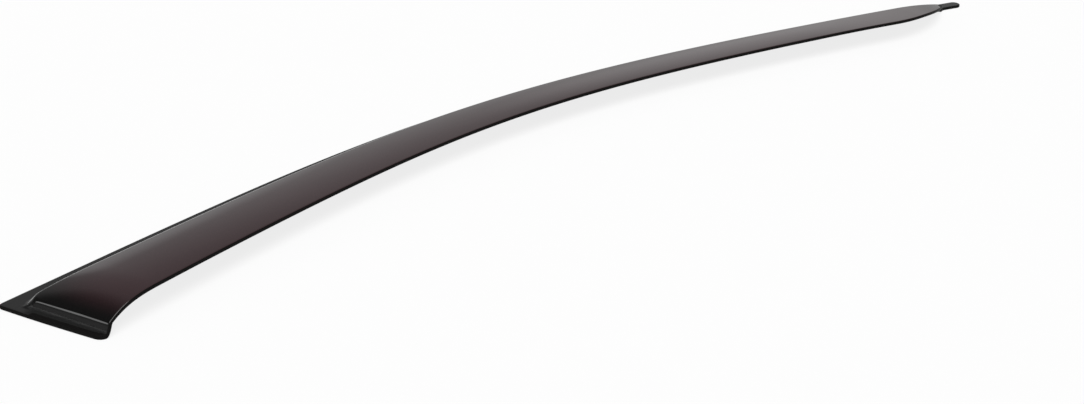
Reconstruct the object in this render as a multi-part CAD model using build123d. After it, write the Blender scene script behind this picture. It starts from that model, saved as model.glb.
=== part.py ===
"""Stick-on window rain deflector for a car's front door.

One sheet of smoked acrylic is draped over a mould, so that a flat sticking flange is left along its
upper edge and a shallow crowned visor stands out from it, and then it is routed to its outline.
The deflector lies on its flange: X runs along it from the wide end to the tip, the free edge is
towards -Y, and +Z points away from the door. Sizes are in millimetres.
"""
from build123d import *
import os
from math import cos, pi, radians, sin, tan

# Sheet
sheet = 3.0

# Flange line: the outer edge of the flange, one curve from the wide end to the tip
chord = 988.0
wide_end_angle = 14.5
wide_end_pull = 388.0
tip_angle = 13.3
tip_pull = 530.0

# Routed outline; the free edge has these widths at these shares of the flange line's length
end_lean = 7.0
end_bow = 0.6
end_width = 87.0
free_shares = (0.048, 0.202, 0.352, 0.501, 0.7, 0.871)
free_widths = (84.4, 79.2, 74.8, 71.3, 68.0, 65.5)
tongue_length = 28.0
tongue_width = 11.4
apex_radius = 3.0
leg_radius = 6.0
tongue_root_radius = 18.0
tip_radius = 5.5

# Walls that lift the visor off the flange
flange_width = 12.2
end_flange_width = 6.4
end_wall_lean = 5.6
wall_angle = 45.0
end_wall_angle = 70.0
corner_radius = 8.0
root_radius = 3.0
brow_radius = 5.5

# Crowned face of the visor, as heights above the flange
crest_rise = 17.0
wide_crest_offset = 68.0
tip_crest_offset = 56.0
crown_radius = 182.0
nose_start = 8.6
nose_rise = 6.0
nose_length = 48.0
runout_length = 70.0
runout_drop = 0.6

# Blank and mould blocks, all cut away at the outline
overhang = 14.0
lean_fade = 200.0
wall_spans = 14
crown_spacing = 120.0

flange_line = Bezier(
    (0, 0),
    Vector(wide_end_pull, 0).rotate(Axis.Z, wide_end_angle),
    Vector(chord, 0) - Vector(tip_pull, 0).rotate(Axis.Z, -tip_angle),
    (chord, 0),
)
length = flange_line.length
draft = radians(wall_angle)
end_draft = radians(end_wall_angle)
wall_lean = radians(end_wall_lean)
mould_top = sheet + crest_rise + overhang
mould_width = end_width + 2 * overhang


def along_line(along):
    """Point on the flange line, its direction there and the direction towards the free edge."""
    reached = min(max(along, 0), length)
    point = flange_line.position_at(reached, position_mode=PositionMode.LENGTH)
    forward = flange_line.tangent_at(reached, position_mode=PositionMode.LENGTH)
    return point + forward * (along - reached), forward, Vector(forward.Y, -forward.X)


def beside(along, out):
    """Plan point at a distance along the flange line and a distance out from it."""
    point, _, inward = along_line(along)
    return point + inward * out


leg = beside(end_width * sin(radians(end_lean)), end_width * cos(radians(end_lean)))


def outline_prism():
    """Routed outline of the deflector, as a block that is taller than the visor."""
    tongue_root = beside(length - tongue_length, tongue_width)
    tongue_end = beside(length, tongue_width)
    free = Spline(leg, *[beside(length * share, width) for share, width in zip(free_shares, free_widths)])
    taper = TangentArc(free @ 1, tongue_root, tangent=free % 1)
    sides = [
        flange_line,
        Line(flange_line @ 1, tongue_end),
        Line(tongue_end, tongue_root),
        taper,
        free,
        SagittaArc(leg, flange_line @ 0, end_bow),
    ]
    block = extrude(Face(Wire(sides)).moved(Pos(Z=-overhang)), overhang + mould_top, dir=(0, 0, 1))
    corners = {
        apex_radius: [flange_line @ 0],
        leg_radius: [leg],
        tongue_root_radius: [tongue_root],
        tip_radius: [flange_line @ 1, tongue_end],
    }
    for radius, places in corners.items():
        for place in places:
            upright = block.edges().filter_by(Axis.Z).sort_by_distance(Vertex(place))[0]
            block = fillet(upright, radius)
    return block


def side_outline(height, inset):
    """Plan of the wall along the flange at a height, closed far past the free edge."""
    out = flange_width + inset + (height - sheet) / tan(draft)
    start = -2 * overhang
    step = (length - start) / wall_spans
    near = Spline(*[beside(start + step * count, out) for count in range(wall_spans + 1)])
    far = Polyline(near @ 1, beside(length, 2 * mould_width), beside(start, 2 * mould_width), near @ 0)
    return Face(Wire([near, *far.edges()])).moved(Pos(Z=height))


def end_wall(along, turn, slope, depth):
    """Plane of an end wall at a depth in the sheet, facing into the visor."""
    point, forward, inward = along_line(along)
    inside = forward * cos(turn) - inward * sin(turn)
    foot = point + inside * depth / sin(slope) + Vector(0, 0, sheet)
    return Plane(foot, z_dir=inside * sin(slope) - Vector(0, 0, cos(slope)))


def wall_block(depth):
    """Block between the sloping walls at a depth in the sheet, its two corners at the flange rounded."""
    inset = depth / sin(draft)
    block = loft([side_outline(-overhang / 2, inset), side_outline(mould_top, inset)], ruled=True)
    block = split(block, end_wall(end_flange_width, wall_lean, end_draft, depth), Keep.TOP)
    block = split(block, end_wall(length - tongue_length, pi, draft, depth), Keep.TOP)
    slanted = [edge for edge in block.edges() if abs((edge @ 1 - edge @ 0).Z) > mould_top / 2]
    return fillet(ShapeList(slanted).sort_by(Axis.Y)[-2:], corner_radius - inset)


def visor_rise(along, out):
    """Height of the visor's face above the flange: it falls towards both ends."""
    crest = wide_crest_offset + (tip_crest_offset - wide_crest_offset) * along / length
    crown = crest_rise - (out - crest) ** 2 / (2 * crown_radius)
    runout = min((length - tongue_length - along) / runout_length, 1)
    nose = min((along - nose_start) / nose_length, 1)
    full_rise = crown * (1 - runout_drop * (1 - runout) ** 2)
    return nose_rise + (full_rise - nose_rise) * (1 - (1 - nose) ** 3)


def crown_section(along, drop):
    """Cross-section under the visor's face, lowered by a drop."""
    point, forward, inward = along_line(along)
    turn = wall_lean * max(1 - along / lean_fade, 0)
    across = inward * cos(turn) + forward * sin(turn)
    plane = Plane(point, x_dir=across, z_dir=across.cross(Vector(0, 0, 1)))

    outs = (0, mould_width / 2, mould_width)
    face = ThreePointArc(*[(out, sheet - drop + visor_rise(along, out)) for out in outs])
    base = Polyline(face @ 1, (mould_width, -overhang), (0, -overhang), face @ 0)
    return plane * Face(Wire([*face.edges(), *base.edges()]))


def crown_block(drop):
    """Block under the visor's crowned face, lofted along the flange line."""
    nose_end = nose_start + nose_length
    runout_end = length - tongue_length
    spans = round((runout_end - runout_length - nose_end) / crown_spacing)
    step = (runout_end - runout_length - nose_end) / spans
    nose_stations = [nose_end * share for share in (0, 0.15, 0.3, 0.5, 0.75)]
    middle_stations = [nose_end + step * count for count in range(spans + 1)]
    tip_stations = [runout_end - runout_length * share for share in (0.7, 0.4, 0.15, -0.1)]
    stations = nose_stations + middle_stations + tip_stations
    return loft([crown_section(along, drop) for along in stations])


def brow_chain(visor):
    """Edges of the visor's face along the flange and both ends."""
    edges = visor.faces().sort_by(Axis.Z)[-1].edges()
    far_edge = edges.sort_by(SortBy.LENGTH)[-2:].sort_by(Axis.Y)[0]
    return [edge for edge in edges if not edge.is_same(far_edge)]


def foot_chain(block, level):
    """Edges where the walls leave the flat sheet at a level, without the blank's straight sides."""
    near = sheet / 10
    flats = block.faces().filter_by(Plane.XY).filter_by_position(Axis.Z, level - near, level + near)
    edges = flats.sort_by(SortBy.AREA)[-1].edges()
    return edges - edges.filter_by(Axis.X) - edges.filter_by(Axis.Y)


def block_under(depth):
    """Block under the formed sheet's top face, at depth 0, or its bottom face, at the sheet's depth."""
    level = sheet - depth
    visor = (wall_block(depth) & crown_block(depth)).solid()
    visor = fillet(brow_chain(visor), brow_radius - depth)
    blank = Rectangle(chord + 4 * overhang + depth, 4 * mould_width + depth)
    block = extrude(Pos(chord / 2, 0, -overhang) * blank, overhang + level) + visor
    block = split(block, Plane.XZ.offset(sheet + depth - leg.Y), Keep.BOTTOM)
    return fillet(foot_chain(block, level), root_radius + depth)


def deflector():
    """Finished deflector, routed from the formed blank and centred over its foot."""
    formed = block_under(0) - block_under(sheet)
    routed = (formed & outline_prism()).solid()
    middle = routed.bounding_box().center()
    return routed.moved(Pos(-middle.X, -middle.Y, 0))


os.makedirs("parts", exist_ok=True)
export_step(deflector(), "parts/deflector.step")
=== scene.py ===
"""Looks of the window rain deflector: its formed sheet, the studio round it and the photo's camera.

The deflector is one thermoformed sheet. A dense sheet of the same shape with an eased rim takes the
place of its CAD solid. It is glossy on the face, with painted light that makes the raised visor warmer
and lighter than the flange. It is dull and darkened almost to black with painted shade at the end
wall's foot and on the tip's wall, and matt at the cut edge, along the end flange and on the back. The
floor is a white table, the world is a soft grey room with brighter windows and a dark screen, and a
wide lamp overhead brings the light to a plain level. The frame is that of the CAD model. The sheet's
own sizes are in millimetres, and those of the finishes, the table and the camera are in metres.
"""
import logging
from dataclasses import dataclass, field
from math import cos, pi, radians, sin, tan

import bpy
import numpy as np
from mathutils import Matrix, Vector


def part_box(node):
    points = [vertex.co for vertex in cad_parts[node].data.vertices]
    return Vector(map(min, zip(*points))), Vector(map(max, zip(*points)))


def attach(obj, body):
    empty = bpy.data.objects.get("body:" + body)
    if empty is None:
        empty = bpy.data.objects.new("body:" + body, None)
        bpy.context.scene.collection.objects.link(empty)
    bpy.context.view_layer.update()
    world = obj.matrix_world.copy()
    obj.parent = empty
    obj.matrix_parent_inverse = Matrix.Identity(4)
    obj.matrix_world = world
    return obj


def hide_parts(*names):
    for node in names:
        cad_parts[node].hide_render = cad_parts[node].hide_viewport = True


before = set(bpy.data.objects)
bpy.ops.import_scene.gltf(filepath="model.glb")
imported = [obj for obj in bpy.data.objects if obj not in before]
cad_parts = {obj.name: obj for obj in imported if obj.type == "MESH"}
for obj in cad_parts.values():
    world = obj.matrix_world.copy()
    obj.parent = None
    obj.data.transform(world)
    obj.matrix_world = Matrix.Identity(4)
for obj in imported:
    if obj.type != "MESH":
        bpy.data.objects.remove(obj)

log = logging.getLogger("deflector")

MILLIMETRE = 0.001

# Places of the colours among the Mix node's sockets
MIX_FIRST, MIX_SECOND, MIX_RESULT = 6, 7, 2

Triple = tuple[float, float, float]
Colour = Triple
Array = np.ndarray
Socket = bpy.types.NodeSocket


def direction(bearing: float, height: float) -> Vector:
    """Unit vector towards a place in the room.

    Args:
        bearing: degrees from +X towards +Y.
        height: degrees above the floor.

    Returns:
        The direction from the deflector to that place.
    """
    turn, lift = radians(bearing), radians(height)
    return Vector((cos(lift) * cos(turn), cos(lift) * sin(turn), sin(lift)))


class Graph:
    """Shorthand for building a node tree."""

    def __init__(self, tree: bpy.types.NodeTree) -> None:
        """Empties the tree and keeps it."""
        self.tree = tree
        self.tree.nodes.clear()

    def add(self, kind: str, **values: object) -> bpy.types.Node:
        """Adds a node.

        Args:
            kind: the node's type name.
            values: attributes of the node, such as its operation.

        Returns:
            The new node.
        """
        node = self.tree.nodes.new(kind)
        for name, value in values.items():
            setattr(node, name, value)
        return node

    def feed(self, socket: Socket, value: object) -> None:
        """Links an output to an input, or sets the input's own value.

        Args:
            socket: the input.
            value: the output or the value.
        """
        if isinstance(value, bpy.types.NodeSocket):
            self.tree.links.new(value, socket)
        else:
            socket.default_value = value

    def math(self, operation: str, *terms: object) -> Socket:
        """Adds a Math node.

        Args:
            operation: the node's operation.
            terms: outputs or numbers for its inputs.

        Returns:
            The node's output.
        """
        node = self.add("ShaderNodeMath", operation=operation)
        for socket, term in zip(node.inputs, terms):
            self.feed(socket, term)
        return node.outputs[0]

    def ramp(self, value: Socket, low: float, high: float, bottom: float = 0.0, top: float = 1.0) -> Socket:
        """Adds a smooth step.

        Args:
            value: what the step reads.
            low: where the step starts.
            high: where the step ends.
            bottom: result at the start.
            top: result at the end.

        Returns:
            The step's output.
        """
        node = self.add("ShaderNodeMapRange", interpolation_type="SMOOTHSTEP")
        for name, number in (("From Min", low), ("From Max", high), ("To Min", bottom), ("To Max", top)):
            node.inputs[name].default_value = number
        self.feed(node.inputs["Value"], value)
        return node.outputs["Result"]

    def mix(self, share: object, first: object, second: object) -> Socket:
        """Adds a colour mix.

        Args:
            share: how much of the second colour there is.
            first: colour at share 0.
            second: colour at share 1.

        Returns:
            The mixed colour.
        """
        node = self.add("ShaderNodeMix", data_type="RGBA")
        self.feed(node.inputs[0], share)
        for place, colour in ((MIX_FIRST, first), (MIX_SECOND, second)):
            self.feed(node.inputs[place], (*colour, 1.0) if isinstance(colour, tuple) else colour)
        return node.outputs[MIX_RESULT]

    def noise(self, place: Socket, scale: object = 1.0, detail: float = 2.0) -> Socket:
        """Adds a noise texture.

        Args:
            place: coordinates that the noise reads.
            scale: how fine the noise is.
            detail: how many finer layers it has.

        Returns:
            The noise's value.
        """
        node = self.add("ShaderNodeTexNoise")
        self.feed(node.inputs["Vector"], place)
        self.feed(node.inputs["Scale"], scale)
        node.inputs["Detail"].default_value = detail
        return node.outputs["Fac"]

    def stretched(self, place: Socket, scale: Triple) -> Socket:
        """Scales coordinates, so that a pattern runs along one axis.

        Args:
            place: coordinates.
            scale: factor along each axis.

        Returns:
            The scaled coordinates.
        """
        node = self.add("ShaderNodeMapping")
        self.feed(node.inputs["Vector"], place)
        node.inputs["Scale"].default_value = scale
        return node.outputs["Vector"]

    def bump(self, relief: Socket, depth: float) -> Socket:
        """Adds a bump at full strength.

        Args:
            relief: the height, from 0 to 1.
            depth: how deep the relief is.

        Returns:
            The bumped normal.
        """
        node = self.add("ShaderNodeBump")
        node.inputs["Strength"].default_value = 1.0
        node.inputs["Distance"].default_value = depth
        self.feed(node.inputs["Height"], relief)
        return node.outputs["Normal"]

    def show(self, surface: Socket, output: str = "ShaderNodeOutputMaterial") -> None:
        """Adds the tree's output and links a surface to it.

        Args:
            surface: the finished shader.
            output: type name of the output node.
        """
        self.feed(self.add(output).inputs["Surface"], surface)


def new_material(name: str) -> tuple[bpy.types.Material, Graph, Socket]:
    """Starts a material.

    Args:
        name: the material's name.

    Returns:
        The material, its nodes and the Object coordinates among them.
    """
    material = bpy.data.materials.new(name)
    material.use_nodes = True
    graph = Graph(material.node_tree)
    return material, graph, graph.add("ShaderNodeTexCoord").outputs["Object"]


@dataclass(frozen=True)
class AcrylicMottle:
    """Faint clouds and specks in the acrylic, shared by the sheet's faces and its routed edge."""

    name: str = "acrylic_mottle"
    cloud_stretch: Triple = (9.0, 26.0, 26.0)
    cloud_detail: float = 3.0
    speck_detail: float = 1.0

    def group(self) -> bpy.types.NodeTree:
        """Builds the node group once.

        Returns:
            The group, with the place and the specks' fineness in, and the cloud and the specks out.
        """
        if self.name in bpy.data.node_groups:
            return bpy.data.node_groups[self.name]
        tree = bpy.data.node_groups.new(self.name, "ShaderNodeTree")
        graph = Graph(tree)
        tree.interface.new_socket("Place", in_out="INPUT", socket_type="NodeSocketVector")
        tree.interface.new_socket("Fineness", in_out="INPUT", socket_type="NodeSocketFloat")
        tree.interface.new_socket("Cloud", in_out="OUTPUT", socket_type="NodeSocketFloat")
        tree.interface.new_socket("Speck", in_out="OUTPUT", socket_type="NodeSocketFloat")
        given = graph.add("NodeGroupInput")
        result = graph.add("NodeGroupOutput")
        place = given.outputs["Place"]
        cloud = graph.noise(graph.stretched(place, self.cloud_stretch), detail=self.cloud_detail)
        speck = graph.noise(place, given.outputs["Fineness"], self.speck_detail)
        graph.feed(result.inputs["Cloud"], cloud)
        graph.feed(result.inputs["Speck"], speck)
        return tree

    def put_in(self, graph: Graph, place: Socket, fineness: float) -> tuple[Socket, Socket]:
        """Places the group in a material.

        Args:
            graph: the material's nodes.
            place: the coordinates that it reads.
            fineness: how fine the specks are.

        Returns:
            The cloud and the specks.
        """
        node = graph.add("ShaderNodeGroup", node_tree=self.group())
        graph.feed(node.inputs["Place"], place)
        graph.feed(node.inputs["Fineness"], fineness)
        return node.outputs["Cloud"], node.outputs["Speck"]


@dataclass(frozen=True)
class SmokedAcrylic:
    """Dark glossy sheet, neutral on the flange, with painted light that makes it lighter and warmer where
    light gets under the raised visor, and painted shade where its layer of painted shade lies.
    """

    # Painted light: the visor's colour is lighter and warmer, standing in for light that comes up through the
    # sheet from the table beneath.
    lit_visor_colour: Colour = (0.034, 0.0155, 0.0182)
    flange_colour: Colour = (0.0038, 0.0036, 0.0036)
    # Painted shade: near-black colour laid where the layer of painted shade lies.
    painted_shade_colour: Colour = (0.0010, 0.0010, 0.0009)
    warm_share: float = 1.12
    cool_share: float = 0.88
    refraction: float = 1.49
    roughness: float = 0.07
    flange_roughness: float = 0.38
    dull_roughness: float = 0.95
    dullness: float = 0.03
    painted_light_start: float = 0.0105
    painted_light_full: float = 0.0205
    flange_top: float = 0.0032
    flange_fade: float = 0.0040
    painted_shade_layer: str = "painted_shade"
    speck_fineness: float = 900.0
    ripple_stretch: Triple = (14.0, 45.0, 45.0)
    ripple_detail: float = 1.0
    ripple_depth: float = 0.00006
    mottle: AcrylicMottle = AcrylicMottle()

    def material(self, name: str) -> bpy.types.Material:
        """Builds the material.

        Args:
            name: the material's name.

        Returns:
            The procedural material, which reads Object coordinates and the sheet's layer of painted shade.
        """
        material, graph, place = new_material(name)
        parts = graph.add("ShaderNodeSeparateXYZ")
        graph.feed(parts.inputs[0], place)
        height = parts.outputs["Z"]
        cloud, speck = self.mottle.put_in(graph, place, self.speck_fineness)
        painted_shade = graph.add("ShaderNodeAttribute", attribute_name=self.painted_shade_layer).outputs["Fac"]

        warm = tuple(self.warm_share * part for part in self.lit_visor_colour)
        cool = tuple(self.cool_share * part for part in self.lit_visor_colour)
        # Painted light: the raised visor is lighter and warmer than the flange, standing in for light that
        # comes through the sheet from beneath it.
        painted_light = graph.ramp(height, self.painted_light_start, self.painted_light_full)
        colour = graph.mix(painted_light, self.flange_colour, graph.mix(cloud, cool, warm))
        # Painted shade: the layer of painted shade darkens the end wall's foot and the tip's wall almost to
        # black, and the same layer makes them dull.
        colour = graph.mix(painted_shade, colour, self.painted_shade_colour)

        flange_end = self.flange_top + self.flange_fade
        clean = graph.ramp(height, self.flange_top, flange_end, self.flange_roughness, self.roughness)
        dulling = graph.math("SUBTRACT", self.dull_roughness, clean)
        dulled = graph.math("MULTIPLY_ADD", dulling, painted_shade, clean)
        dull = graph.math("MULTIPLY", graph.math("MULTIPLY", cloud, speck), self.dullness)
        ripple = graph.noise(graph.stretched(place, self.ripple_stretch), detail=self.ripple_detail)

        shader = graph.add("ShaderNodeBsdfPrincipled")
        shader.inputs["IOR"].default_value = self.refraction
        graph.feed(shader.inputs["Base Color"], colour)
        graph.feed(shader.inputs["Roughness"], graph.math("ADD", dulled, dull))
        graph.feed(shader.inputs["Normal"], graph.bump(ripple, self.ripple_depth))
        graph.show(shader.outputs["BSDF"])
        return material


@dataclass(frozen=True)
class RoutedEdge:
    """Cut edge and back of the sheet: almost black and matt, with fine marks."""

    colour: Colour = (0.0055, 0.0052, 0.0051)
    mark_colour: Colour = (0.0105, 0.0100, 0.0098)
    gloss: float = 0.02
    low_cloud: float = 0.3
    high_cloud: float = 0.7
    low_roughness: float = 0.38
    high_roughness: float = 0.6
    mark_fineness: float = 1400.0
    mark_depth: float = 0.00002
    mottle: AcrylicMottle = AcrylicMottle()

    def material(self, name: str) -> bpy.types.Material:
        """Builds the material.

        Args:
            name: the material's name.

        Returns:
            The procedural material, which reads Object coordinates.
        """
        material, graph, place = new_material(name)
        cloud, mark = self.mottle.put_in(graph, place, self.mark_fineness)
        colour = graph.mix(mark, self.colour, self.mark_colour)
        roughness = graph.ramp(
            cloud, self.low_cloud, self.high_cloud, self.low_roughness, self.high_roughness
        )

        shader = graph.add("ShaderNodeBsdfPrincipled")
        shader.inputs["Specular IOR Level"].default_value = self.gloss
        graph.feed(shader.inputs["Base Color"], colour)
        graph.feed(shader.inputs["Roughness"], roughness)
        graph.feed(shader.inputs["Normal"], graph.bump(mark, self.mark_depth))
        graph.show(shader.outputs["BSDF"])
        return material


@dataclass(frozen=True)
class TableTop:
    """Matt white table with a faint mottle, which shows as a white ground."""

    colour: Colour = (0.95, 0.95, 0.95)
    shade: Colour = (0.93, 0.93, 0.93)
    mottle_scale: float = 30.0
    roughness: float = 0.8
    gloss: float = 0.0
    shown_white: float = 0.82

    def material(self, name: str) -> bpy.types.Material:
        """Builds the material.

        Args:
            name: the material's name.

        Returns:
            The procedural material, which reads Object coordinates.
        """
        material, graph, place = new_material(name)
        colour = graph.mix(graph.noise(place, self.mottle_scale), self.shade, self.colour)
        shader = graph.add("ShaderNodeBsdfPrincipled")
        shader.inputs["Roughness"].default_value = self.roughness
        shader.inputs["Specular IOR Level"].default_value = self.gloss
        graph.feed(shader.inputs["Base Color"], colour)

        path = graph.add("ShaderNodeLightPath")
        seen = graph.math("MAXIMUM", path.outputs["Is Camera Ray"], path.outputs["Is Glossy Ray"])
        seen = graph.math("MAXIMUM", seen, path.outputs["Is Transmission Ray"])
        glow = graph.add("ShaderNodeEmission")
        blend = graph.add("ShaderNodeMixShader")
        graph.feed(blend.inputs[0], graph.math("MULTIPLY", seen, self.shown_white))
        graph.feed(blend.inputs[1], shader.outputs["BSDF"])
        graph.feed(blend.inputs[2], glow.outputs["Emission"])
        graph.show(blend.outputs["Shader"])
        return material


def soft_min(first: Array, second: Array, blend: Array | float) -> Array:
    """Lesser of two heights, with a rounded change from one to the other.

    Args:
        first: one set of heights.
        second: the other set.
        blend: difference between them at which the rounding starts.

    Returns:
        The rounded lesser heights.
    """
    overlap = np.maximum(blend - np.abs(first - second), 0.0)
    return np.minimum(first, second) - overlap**2 / (4.0 * blend)


def soft_max(first: Array, second: Array | float, blend: Array | float) -> Array:
    """Greater of two heights, with a rounded change from one to the other.

    Args:
        first: one set of heights.
        second: the other set, or a level.
        blend: difference between them at which the rounding starts.

    Returns:
        The rounded greater heights.
    """
    return -soft_min(-first, -second, blend)


def soft_step(value: Array, width: float) -> Array:
    """Smooth change from 0 to 1 over a width, with its middle where the value is zero."""
    share = np.clip(value / width + 0.5, 0.0, 1.0)
    return share**2 * (3.0 - 2.0 * share)


@dataclass(frozen=True)
class FlangeLine:
    """Outer edge of the flange, one cubic curve from the wide end to the tip; millimetres and degrees."""

    chord: float = 988.0
    wide_end_angle: float = 14.5
    wide_end_pull: float = 388.0
    tip_angle: float = 13.3
    tip_pull: float = 530.0
    samples: int = 4001

    def trace(self) -> tuple[Array, Array, Array]:
        """Follows the curve.

        Returns:
            Distances along it, the points there and the headings there in radians.
        """
        wide, tip = radians(self.wide_end_angle), radians(self.tip_angle)
        start = np.array((0.0, 0.0))
        start_pull = np.array((self.wide_end_pull * cos(wide), self.wide_end_pull * sin(wide)))
        end_pull = np.array((self.chord - self.tip_pull * cos(tip), self.tip_pull * sin(tip)))
        end = np.array((self.chord, 0.0))
        done = np.linspace(0.0, 1.0, self.samples)[:, None]
        left = 1 - done
        points = (
            start * left**3
            + 3 * start_pull * done * left**2
            + 3 * end_pull * done**2 * left
            + end * done**3
        )
        steps = np.linalg.norm(np.diff(points, axis=0), axis=1)
        slopes = np.gradient(points, axis=0)
        return np.concatenate(((0.0,), np.cumsum(steps))), points, np.arctan2(slopes[:, 1], slopes[:, 0])

    def length(self) -> float:
        """Length of the curve."""
        return float(self.trace()[0][-1])

    def heading(self, along: Array | float) -> Array:
        """Heading of the curve at a distance along it, in radians."""
        reached, _, headings = self.trace()
        return np.interp(along, reached, headings)

    def beside(self, along: Array | float, out: Array | float) -> Array:
        """Plan points beside the curve.

        Args:
            along: distances along the curve.
            out: distances out from it, towards the free edge.

        Returns:
            Their x and y in the last axis.
        """
        reached, points, _ = self.trace()
        turn = self.heading(along)
        x = np.interp(along, reached, points[:, 0]) + out * np.sin(turn)
        y = np.interp(along, reached, points[:, 1]) - out * np.cos(turn)
        return np.stack((x, y), axis=-1)


@dataclass(frozen=True)
class RoutedOutline:
    """Routed outline beside the flange line; millimetres and degrees.

    The free edge has its widths at shares of the flange line's length.
    """

    end_lean: float = 7.0
    end_bow: float = 0.6
    end_width: float = 87.0
    lean_fade: float = 200.0
    free_shares: tuple[float, ...] = (0.048, 0.202, 0.352, 0.501, 0.7, 0.871)
    free_widths: tuple[float, ...] = (84.4, 79.2, 74.8, 71.3, 68.0, 65.5)
    tongue_length: float = 28.0
    tongue_width: float = 11.4
    tongue_root_blend: float = 10.9
    apex_radius: float = 3.0
    leg_radius: float = 6.0
    tip_radius: float = 5.5

    def fade(self, along: Array) -> Array:
        """How much of the wide end's lean and bow is left, from 1 at the end to 0."""
        return np.maximum(1.0 - along / self.lean_fade, 0.0)

    def lean(self, along: Array) -> Array:
        """Tangent of the lean of a line across the sheet, which fades from the wide end."""
        return tan(radians(self.end_lean)) * self.fade(along)

    def width(self, along: Array, length: float) -> Array:
        """Distance from the flange line to the free edge.

        Args:
            along: distances along the flange line.
            length: the flange line's length.

        Returns:
            The widths there.
        """
        lean = radians(self.end_lean)
        shares = (self.end_width * sin(lean) / length, *self.free_shares)
        widths = (self.end_width * cos(lean), *self.free_widths)
        free = np.polyfit(shares, widths, len(widths) - 1)

        # The taper is an arc that leaves the free edge smoothly and ends at the tongue's root.
        last_share, last_width = self.free_shares[-1], self.free_widths[-1]
        taper_start = last_share * length
        slope = np.polyval(np.polyder(free), last_share) / length
        inside = np.array((slope, -1.0)) / np.hypot(slope, 1.0)
        reach = np.array((length - self.tongue_length - taper_start, self.tongue_width - last_width))
        radius = reach @ reach / (2.0 * (reach @ inside))
        middle = radius * inside
        past = along - taper_start
        arc = np.sqrt(np.maximum(radius**2 - (past - middle[0]) ** 2, 0.0)) + middle[1] + last_width
        taper = soft_max(arc, self.tongue_width, self.tongue_root_blend)
        return np.where(past < 0.0, np.polyval(free, along / length), taper)

    @staticmethod
    def round_corner(first: Array, second: Array, radius: float) -> tuple[Array, Array]:
        """Rounds the corner where two sides meet, by drawing squares round it in to circles.

        Args:
            first: distances in from one side.
            second: distances in from the other side.
            radius: radius of the corner.

        Returns:
            Both distances, changed where they are both below the radius.
        """
        across, down = radius - first, radius - second
        inside = (across > 0.0) & (down > 0.0)
        size = np.where(inside, np.hypot(across, down), 1.0)
        shrink = np.where(inside, np.maximum(across, down) / size, 1.0)
        rounded_first = np.where(inside, radius - across * shrink, first)
        rounded_second = np.where(inside, radius - down * shrink, second)
        return rounded_first, rounded_second


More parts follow.
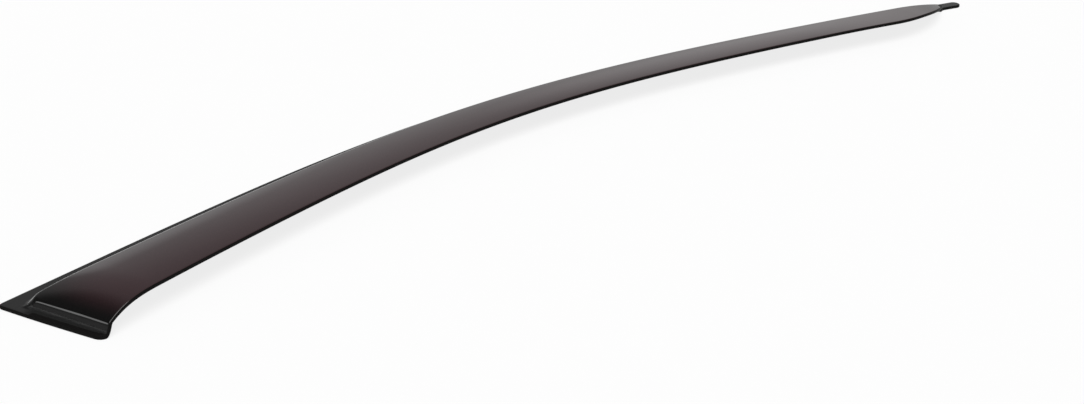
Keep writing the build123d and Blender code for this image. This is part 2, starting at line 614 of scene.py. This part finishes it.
@dataclass(frozen=True)
class FormedFace:
    """Both faces of the formed sheet, as heights over the flange line's plan; millimetres and degrees."""

    sheet: float = 3.0
    flange_width: float = 12.2
    end_flange_width: float = 6.4
    end_wall_lean: float = 5.6
    wall_angle: float = 45.0
    end_wall_angle: float = 70.0
    corner_radius: float = 8.0
    brow_radius: float = 5.5
    root_radius: float = 3.0
    side_brow_blend: float = 1.0
    end_brow_blend: float = 2.2
    side_root_blend: float = 1.06
    end_root_blend: float = 3.9
    wall_change: float = 8.0
    crest_rise: float = 17.0
    wide_crest_offset: float = 68.0
    tip_crest_offset: float = 56.0
    crown_radius: float = 182.0
    nose_start: float = 8.6
    nose_rise: float = 6.0
    nose_length: float = 48.0
    runout_length: float = 70.0
    runout_drop: float = 0.6
    tip_flatness: float = 0.9
    tip_flat_length: float = 200.0
    tip_flat_offset: float = 30.0
    lean_fade: float = 200.0
    lean_rounds: int = 4
    solver_low: float = -100.0
    solver_high: float = 300.0
    solver_steps: int = 40

    def crown(self, along: Array, out: Array, length: float, tongue_length: float) -> Array:
        """Height of the visor's crowned face above the flange.

        Args:
            along: distances along the flange line.
            out: distances out from it.
            length: the flange line's length.
            tongue_length: length of the bare tongue at the tip.

        Returns:
            The heights, which fall towards both ends.
        """
        station = along
        for _ in range(self.lean_rounds):
            turn = radians(self.end_wall_lean) * np.clip(1.0 - station / self.lean_fade, 0.0, 1.0)
            station = along - out * np.tan(turn)
        across = out / np.cos(turn)
        crest = self.wide_crest_offset + (self.tip_crest_offset - self.wide_crest_offset) * station / length
        from_tip = length - tongue_length - station
        flat = self.tip_flatness * np.clip(1.0 - from_tip / self.tip_flat_length, 0.0, 1.0)
        across = across + (self.tip_flat_offset - across) * flat
        crown = self.crest_rise - (across - crest) ** 2 / (2.0 * self.crown_radius)
        runout = np.clip(from_tip / self.runout_length, 0.0, 1.0)
        nose = np.minimum((station - self.nose_start) / self.nose_length, 1.0)
        full_rise = crown * (1.0 - self.runout_drop * (1.0 - runout) ** 2)
        return self.nose_rise + (full_rise - self.nose_rise) * (1.0 - (1.0 - nose) ** 3)

    def corner(
        self, first: Array, first_angle: float, second: Array, second_angle: float, radius: float
    ) -> Array:
        """Height of two sloping walls that meet in a rounded corner.

        Args:
            first: distances in from one wall's foot.
            first_angle: slope of that wall.
            second: distances in from the other wall's foot.
            second_angle: slope of that wall.
            radius: radius of the corner.

        Returns:
            The heights above the flange.
        """
        low, high = np.full_like(first, self.solver_low), np.full_like(first, self.solver_high)
        for _ in range(self.solver_steps):
            middle = (low + high) / 2.0
            first_gap = np.maximum(radius - first + middle / tan(radians(first_angle)), 0.0)
            second_gap = np.maximum(radius - second + middle / tan(radians(second_angle)), 0.0)
            inside = np.hypot(first_gap, second_gap) < radius
            low, high = np.where(inside, middle, low), np.where(inside, high, middle)
        return low

    def height(self, line: FlangeLine, along: Array, out: Array, tongue_length: float, depth: float) -> Array:
        """Height of a face of the sheet.

        Args:
            line: the flange line.
            along: distances along it.
            out: distances out from it.
            tongue_length: length of the bare tongue at the tip.
            depth: depth in the sheet, which is 0 for its top face.

        Returns:
            The heights above the door.
        """
        length = line.length()
        plan = line.beside(along, out)
        end_foot = line.beside(self.end_flange_width, 0.0)
        end_turn = line.heading(self.end_flange_width) + radians(self.end_wall_lean)
        tip_foot = line.beside(length - tongue_length, 0.0)
        tip_turn = line.heading(length - tongue_length) + pi
        inset = depth / sin(radians(self.wall_angle))
        end_inset = depth / sin(radians(self.end_wall_angle))
        side = out - self.flange_width - inset
        end = (plan - end_foot) @ np.array((np.cos(end_turn), np.sin(end_turn))) - end_inset
        tip = (plan - tip_foot) @ np.array((np.cos(tip_turn), np.sin(tip_turn))) - inset
        radius = self.corner_radius - inset
        walls = np.minimum(
            self.corner(side, self.wall_angle, end, self.end_wall_angle, radius),
            self.corner(side, self.wall_angle, tip, self.wall_angle, radius),
        )

        # The bends change from those of the flange's wall to those of the end wall round the corner.
        at_end = side * tan(radians(self.wall_angle)) - end * tan(radians(self.end_wall_angle))
        share = np.clip(at_end / self.wall_change + 0.5, 0.0, 1.0)
        brow = self.side_brow_blend + (self.end_brow_blend - self.side_brow_blend) * share
        root = self.side_root_blend + (self.end_root_blend - self.side_root_blend) * share
        brow *= 1.0 - depth / self.brow_radius
        root *= 1.0 + depth / self.root_radius
        visor = soft_min(walls, self.crown(along, out, length, tongue_length) - depth, brow)
        return self.sheet + soft_max(visor, -depth, root)


@dataclass
class Deflector:
    """The deflector: its formed sheet with an eased rim, in place of the CAD solid; sizes in millimetres.

    A span of the mesh's columns or rows is given by where it ends and by its step.
    """

    node: str = "deflector"
    slot: str = "smoked_acrylic"
    line: FlangeLine = field(default_factory=FlangeLine)
    outline: RoutedOutline = field(default_factory=RoutedOutline)
    face: FormedFace = field(default_factory=FormedFace)
    finish: SmokedAcrylic = field(default_factory=SmokedAcrylic)
    edge_finish: RoutedEdge = field(default_factory=RoutedEdge)
    rim_radius: float = 0.8
    rim_steps: tuple[float, ...] = (0.0, 0.1, 0.3, 0.6, 0.9, 1.8)
    along_spans: tuple[tuple[float, float], ...] = (
        (26.0, 0.65), (70.0, 1.6), (200.0, 3.5), (830.0, 5.0), (930.0, 2.5),
    )
    tip_step: float = 0.6
    out_spans: tuple[tuple[float, float], ...] = ((9.0, 1.2), (28.0, 0.7))
    far_rows: int = 22
    squeeze_width: float = 50.0
    width_rounds: int = 6
    matt_rim: float = 0.35
    matt_end: float = 4.4
    matt_start: float = 26.0
    painted_shade_end: float = 9.0
    painted_shade_start: float = 22.0
    painted_shade_rise: float = 1.0
    painted_shade_tip: float = 9.5
    painted_shade_tip_slope: float = 0.5
    painted_shade_fade: float = 6.0
    smooth_angle: float = 40.0

    def stations(self, length: float) -> Array:
        """Distances of the mesh's columns from the end edge, close together at both ends.

        Args:
            length: the flange line's length.

        Returns:
            The distances, in order.
        """
        rim = np.array(self.rim_steps)
        columns = [rim]
        reached = rim[-1]
        for end, step in (*self.along_spans, (length - rim[-1], self.tip_step)):
            count = round((end - reached) / step)
            columns.append(np.linspace(reached, end, count + 1)[1:])
            reached = end
        return np.concatenate((*columns, length - rim[-2::-1]))

    def rows(self, width: Array) -> Array:
        """Distances of the mesh's rows from the flange line, for each column.

        Args:
            width: the sheet's width at each column.

        Returns:
            One line of distances for each column: fixed at the wall, spread out to the free edge, and
            squeezed together where the sheet is narrow.
        """
        rim = np.array(self.rim_steps)
        near = []
        reached = rim[-1]
        for end, step in self.out_spans:
            near.append(np.linspace(reached, end, round((end - reached) / step) + 1)[1:])
            reached = end
        nominal = np.maximum(width, self.squeeze_width)[:, None]
        spread = np.linspace(0.0, 1.0, self.far_rows + 1)[1:]
        far = reached + (nominal - rim[-1] - reached) * spread
        inner = np.hstack((np.broadcast_to(np.concatenate(near), (len(width), sum(map(len, near)))), far))
        squeeze = (width[:, None] - 2.0 * rim[-1]) / (nominal - 2.0 * rim[-1])
        inner = rim[-1] + (inner - rim[-1]) * squeeze
        flange_rim = np.broadcast_to(rim, (len(width), len(rim)))
        return np.hstack((flange_rim, inner, width[:, None] - rim[-2::-1]))

    def plan(self) -> tuple[Array, Array, Array, Array]:
        """Lays out the mesh's columns and rows inside the routed outline.

        Returns:
            Distances along the flange line, out from it, in from the outline and in from the end edge.
        """
        outline, length = self.outline, self.line.length()
        start = self.stations(length)
        lean = outline.lean(start)
        width = outline.width(start, length)
        for _ in range(self.width_rounds):
            width = outline.width(np.minimum(start + width * lean, length), length)
        out = self.rows(width)
        column = np.broadcast_to(start[:, None], out.shape)
        inset = np.minimum.reduce((column, length - column, out, width[:, None] - out))

        from_end, out = outline.round_corner(column, out, outline.apex_radius)
        from_end, from_free = outline.round_corner(from_end, width[:, None] - out, outline.leg_radius)
        from_tip, from_free = outline.round_corner(length - from_end, from_free, outline.tip_radius)
        from_tip, out = outline.round_corner(from_tip, width[:, None] - from_free, outline.tip_radius)
        across = out / width[:, None]
        bow = 4.0 * outline.end_bow * across * (1.0 - across) * outline.fade(start)[:, None]
        return length - from_tip + out * lean[:, None] - bow, out, inset, column

    def painted_shade_places(self, along: Array, out: Array, from_end: Array, height: Array) -> Array:
        """Finds how far the top face is darkened with painted shade and made dull, at the end wall's foot and
        on the tip's wall.

        Args:
            along: distances along the flange line.
            out: distances out from it.
            from_end: distances in from the end edge.
            height: heights of the top face.

        Returns:
            A share for each point, from 0 where it is glossy to 1.
        """
        # Painted shade lies on the end flange next to the end wall's foot and on the tip's wall.
        risen = soft_step(height - self.face.sheet - self.painted_shade_rise, self.painted_shade_rise)
        end_flange = (from_end < self.painted_shade_end) * soft_step(out - self.painted_shade_start, self.painted_shade_fade)
        before_tongue = self.line.length() - self.outline.tongue_length - along
        tip_reach = self.painted_shade_tip + self.painted_shade_tip_slope * (out - self.face.flange_width)
        tip_wall = soft_step(tip_reach - before_tongue, self.painted_shade_fade)
        return end_flange * (1.0 - risen) + tip_wall * risen

    def faces(self) -> tuple[Array, Array, Array, Array]:
        """Works out both faces of the sheet, in metres in the frame of the CAD model.

        Returns:
            Points of the top face and of the bottom face, columns by rows, with flags where the top is
            matt and shares of how far it takes painted shade and dullness.
        """
        along, out, inset, from_end = self.plan()
        plan = self.line.beside(along, out)
        top, bottom = (
            self.face.height(self.line, along, out, self.outline.tongue_length, depth)
            for depth in (0.0, self.face.sheet)
        )
        matt = (inset < self.matt_rim) | (from_end < self.matt_end) & (out > self.matt_start)
        painted_shade = self.painted_shade_places(along, out, from_end, top)

        cut = np.maximum(self.rim_radius - inset, 0.0)
        easing = self.rim_radius - np.sqrt(self.rim_radius**2 - cut**2)
        middle = (plan.min(axis=(0, 1)) + plan.max(axis=(0, 1))) / 2.0
        low, high = (np.array(corner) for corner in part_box(self.node))
        top_points, bottom_points = (
            np.clip(np.dstack((plan - middle, height)) * MILLIMETRE, low, high)
            for height in (top - easing, bottom + easing)
        )
        return top_points, bottom_points, matt, painted_shade

    def lay_grid(
        self, points: Array, matt: Array, painted_shade: Array, finishes: tuple[bpy.types.Material, ...]
    ) -> bpy.types.Object:
        """Adds a grid and draws it to one face of the sheet.

        Args:
            points: the face's points, columns by rows.
            matt: flags of the matt points, whose faces get the second slot.
            painted_shade: how far the points take painted shade and dullness.
            finishes: the materials of both slots.

        Returns:
            The shaped grid, with its faces upwards.
        """
        columns, rows = points.shape[:2]
        bpy.ops.object.select_all(action="DESELECT")
        bpy.ops.mesh.primitive_grid_add(x_subdivisions=columns - 1, y_subdivisions=rows - 1, size=1.0)
        grid = bpy.context.object

        # The flat grid is 1 wide and centred, so a point's place in it tells its column and row.
        flat = np.empty(3 * columns * rows)
        grid.data.vertices.foreach_get("co", flat)
        share = flat.reshape(-1, 3) + 0.5
        column = np.rint(share[:, 0] * (columns - 1)).astype(int)
        row = np.rint((1.0 - share[:, 1]) * (rows - 1)).astype(int)
        grid.data.vertices.foreach_set("co", points[column, row].ravel())

        for material in finishes:
            grid.data.materials.append(material)
        layer = grid.data.attributes.new(self.finish.painted_shade_layer, "FLOAT", "POINT")
        layer.data.foreach_set("value", painted_shade[column, row])
        corners = np.empty(len(grid.data.loops), dtype=np.int32)
        grid.data.loops.foreach_get("vertex_index", corners)
        slots = matt[column, row][corners].reshape(-1, 4).all(axis=1)
        grid.data.polygons.foreach_set("material_index", slots.astype(np.int32))
        grid.data.update()
        return grid

    def build(self) -> bpy.types.Object:
        """Builds the sheet and puts it in place of the CAD solid.

        Returns:
            The finished sheet.
        """
        top_points, bottom_points, matt, painted_shade = self.faces()
        finishes = (
            self.finish.material("smoked_acrylic_sheet"),
            self.edge_finish.material("smoked_acrylic_edge"),
        )
        bottom = self.lay_grid(bottom_points, np.full_like(matt, True), np.zeros_like(painted_shade), finishes)
        sheet = self.lay_grid(top_points, matt, painted_shade, finishes)
        sheet.name = "deflector_sheet"
        bottom.select_set(True)
        bpy.ops.object.join()
        bpy.ops.object.mode_set(mode="EDIT")
        bpy.ops.mesh.select_mode(type="EDGE")
        bpy.ops.mesh.select_all(action="DESELECT")
        bpy.ops.mesh.select_non_manifold()
        bpy.ops.mesh.bridge_edge_loops()
        bpy.ops.mesh.select_mode(type="FACE")
        sheet.active_material_index = len(finishes) - 1
        bpy.ops.object.material_slot_assign()
        bpy.ops.mesh.select_all(action="SELECT")
        bpy.ops.mesh.normals_make_consistent(inside=False)
        bpy.ops.object.mode_set(mode="OBJECT")
        bpy.ops.object.shade_smooth_by_angle(angle=radians(self.smooth_angle))
        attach(sheet, "root")
        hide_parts(self.node)
        log.info("%s: %d faces", sheet.name, len(sheet.data.polygons))
        return sheet


@dataclass(frozen=True)
class Patch:
    """Round soft patch on the room's walls; angles in degrees, the bearing from +X towards +Y."""

    bearing: float
    height: float
    core: float
    reach: float
    level: float

    def cover(self, graph: Graph, towards: Socket) -> Socket:
        """How much of the patch lies in a direction, from 0 outside its reach to 1 in its core.

        Args:
            graph: the world's nodes.
            towards: the direction.

        Returns:
            The share's output.
        """
        node = graph.add("ShaderNodeVectorMath", operation="DOT_PRODUCT")
        graph.feed(node.inputs[0], towards)
        node.inputs[1].default_value = direction(self.bearing, self.height)
        return graph.ramp(node.outputs["Value"], cos(radians(self.reach)), cos(radians(self.core)))


@dataclass
class Studio:
    """Table, room and lamp."""

    table_size: float = 40.0
    table_finish: TableTop = field(default_factory=TableTop)
    room_colour: Colour = (1.0, 1.0, 1.0)
    room_level: float = 0.29
    windows: tuple[Patch, ...] = (
        Patch(bearing=46.0, height=10.0, core=0.0, reach=30.0, level=0.22),
        Patch(bearing=42.5, height=14.0, core=0.0, reach=12.5, level=0.22),
        Patch(bearing=73.0, height=2.0, core=0.0, reach=14.0, level=0.25),
        Patch(bearing=152.0, height=22.0, core=4.0, reach=9.0, level=3.0),
        Patch(bearing=158.0, height=0.0, core=0.0, reach=16.0, level=0.15),
    )
    screen: Patch = Patch(bearing=136.0, height=40.0, core=22.0, reach=42.0, level=0.07)
    key_bearing: float = 250.0
    key_height: float = 72.0
    key_spread: float = 50.0
    key_strength: float = 0.74 * pi

    def lay_table(self) -> bpy.types.Object:
        """Lays the table under the deflector.

        Returns:
            The table.
        """
        bpy.ops.object.select_all(action="DESELECT")
        bpy.ops.mesh.primitive_plane_add(size=self.table_size)
        table = bpy.context.object
        table.name = "table"
        table.data.materials.append(self.table_finish.material("white_table"))
        log.info("%s: %.0f m wide", table.name, self.table_size)
        return table

    def light_room(self) -> None:
        """Makes the room: even grey, brighter at its windows, dark at the screen."""
        world = bpy.data.worlds.new("room")
        bpy.context.scene.world = world
        world.use_nodes = True
        graph = Graph(world.node_tree)
        towards = graph.add("ShaderNodeTexCoord").outputs["Generated"]
        wall = graph.add("ShaderNodeMapRange")
        wall.inputs["To Min"].default_value = self.room_level
        wall.inputs["To Max"].default_value = self.screen.level
        graph.feed(wall.inputs["Value"], self.screen.cover(graph, towards))
        level = wall.outputs["Result"]
        for window in self.windows:
            level = graph.math("MULTIPLY_ADD", window.cover(graph, towards), window.level, level)
        backing = graph.add("ShaderNodeBackground")
        graph.feed(backing.inputs["Strength"], level)
        backing.inputs["Color"].default_value = (*self.room_colour, 1.0)
        graph.show(backing.outputs["Background"], "ShaderNodeOutputWorld")
        log.info("room: %d windows", len(self.windows))

    def hang_lamp(self) -> bpy.types.Object:
        """Hangs the wide lamp overhead.

        Returns:
            The lamp.
        """
        key = direction(self.key_bearing, self.key_height)
        bpy.ops.object.light_add(type="SUN", rotation=key.to_track_quat("Z", "Y").to_euler())
        lamp = bpy.context.object
        lamp.name = "key"
        lamp.data.angle = radians(self.key_spread)
        lamp.data.energy = self.key_strength
        log.info("%s: lamp hung", lamp.name)
        return lamp


@dataclass(frozen=True)
class PhotoCamera:
    """Camera at the photo's viewing angle; angles in degrees, lens and sensor in millimetres."""

    place: Triple = (-0.77293, -0.86175, 0.45896)
    tip_up: float = 65.305
    turn: float = -40.115
    lens: float = 50.528
    sensor: float = 36.0

    def set_up(self) -> bpy.types.Object:
        """Adds the camera and makes it the scene's own.

        Returns:
            The camera.
        """
        aim = (radians(self.tip_up), 0.0, radians(self.turn))
        bpy.ops.object.camera_add(location=self.place, rotation=aim)
        camera = bpy.context.object
        camera.name = "photo_camera"
        camera.data.sensor_width = self.sensor
        camera.data.lens = self.lens
        bpy.context.scene.camera = camera
        return camera


def main() -> None:
    """Dresses the deflector and sets up the studio."""
    logging.basicConfig(level=logging.INFO, format="%(message)s")
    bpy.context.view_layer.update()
    bpy.context.scene.view_settings.view_transform = "Standard"
    Deflector().build()
    studio = Studio()
    studio.lay_table()
    studio.light_room()
    studio.hang_lamp()
    PhotoCamera().set_up()


if __name__ == "__main__":
    main()
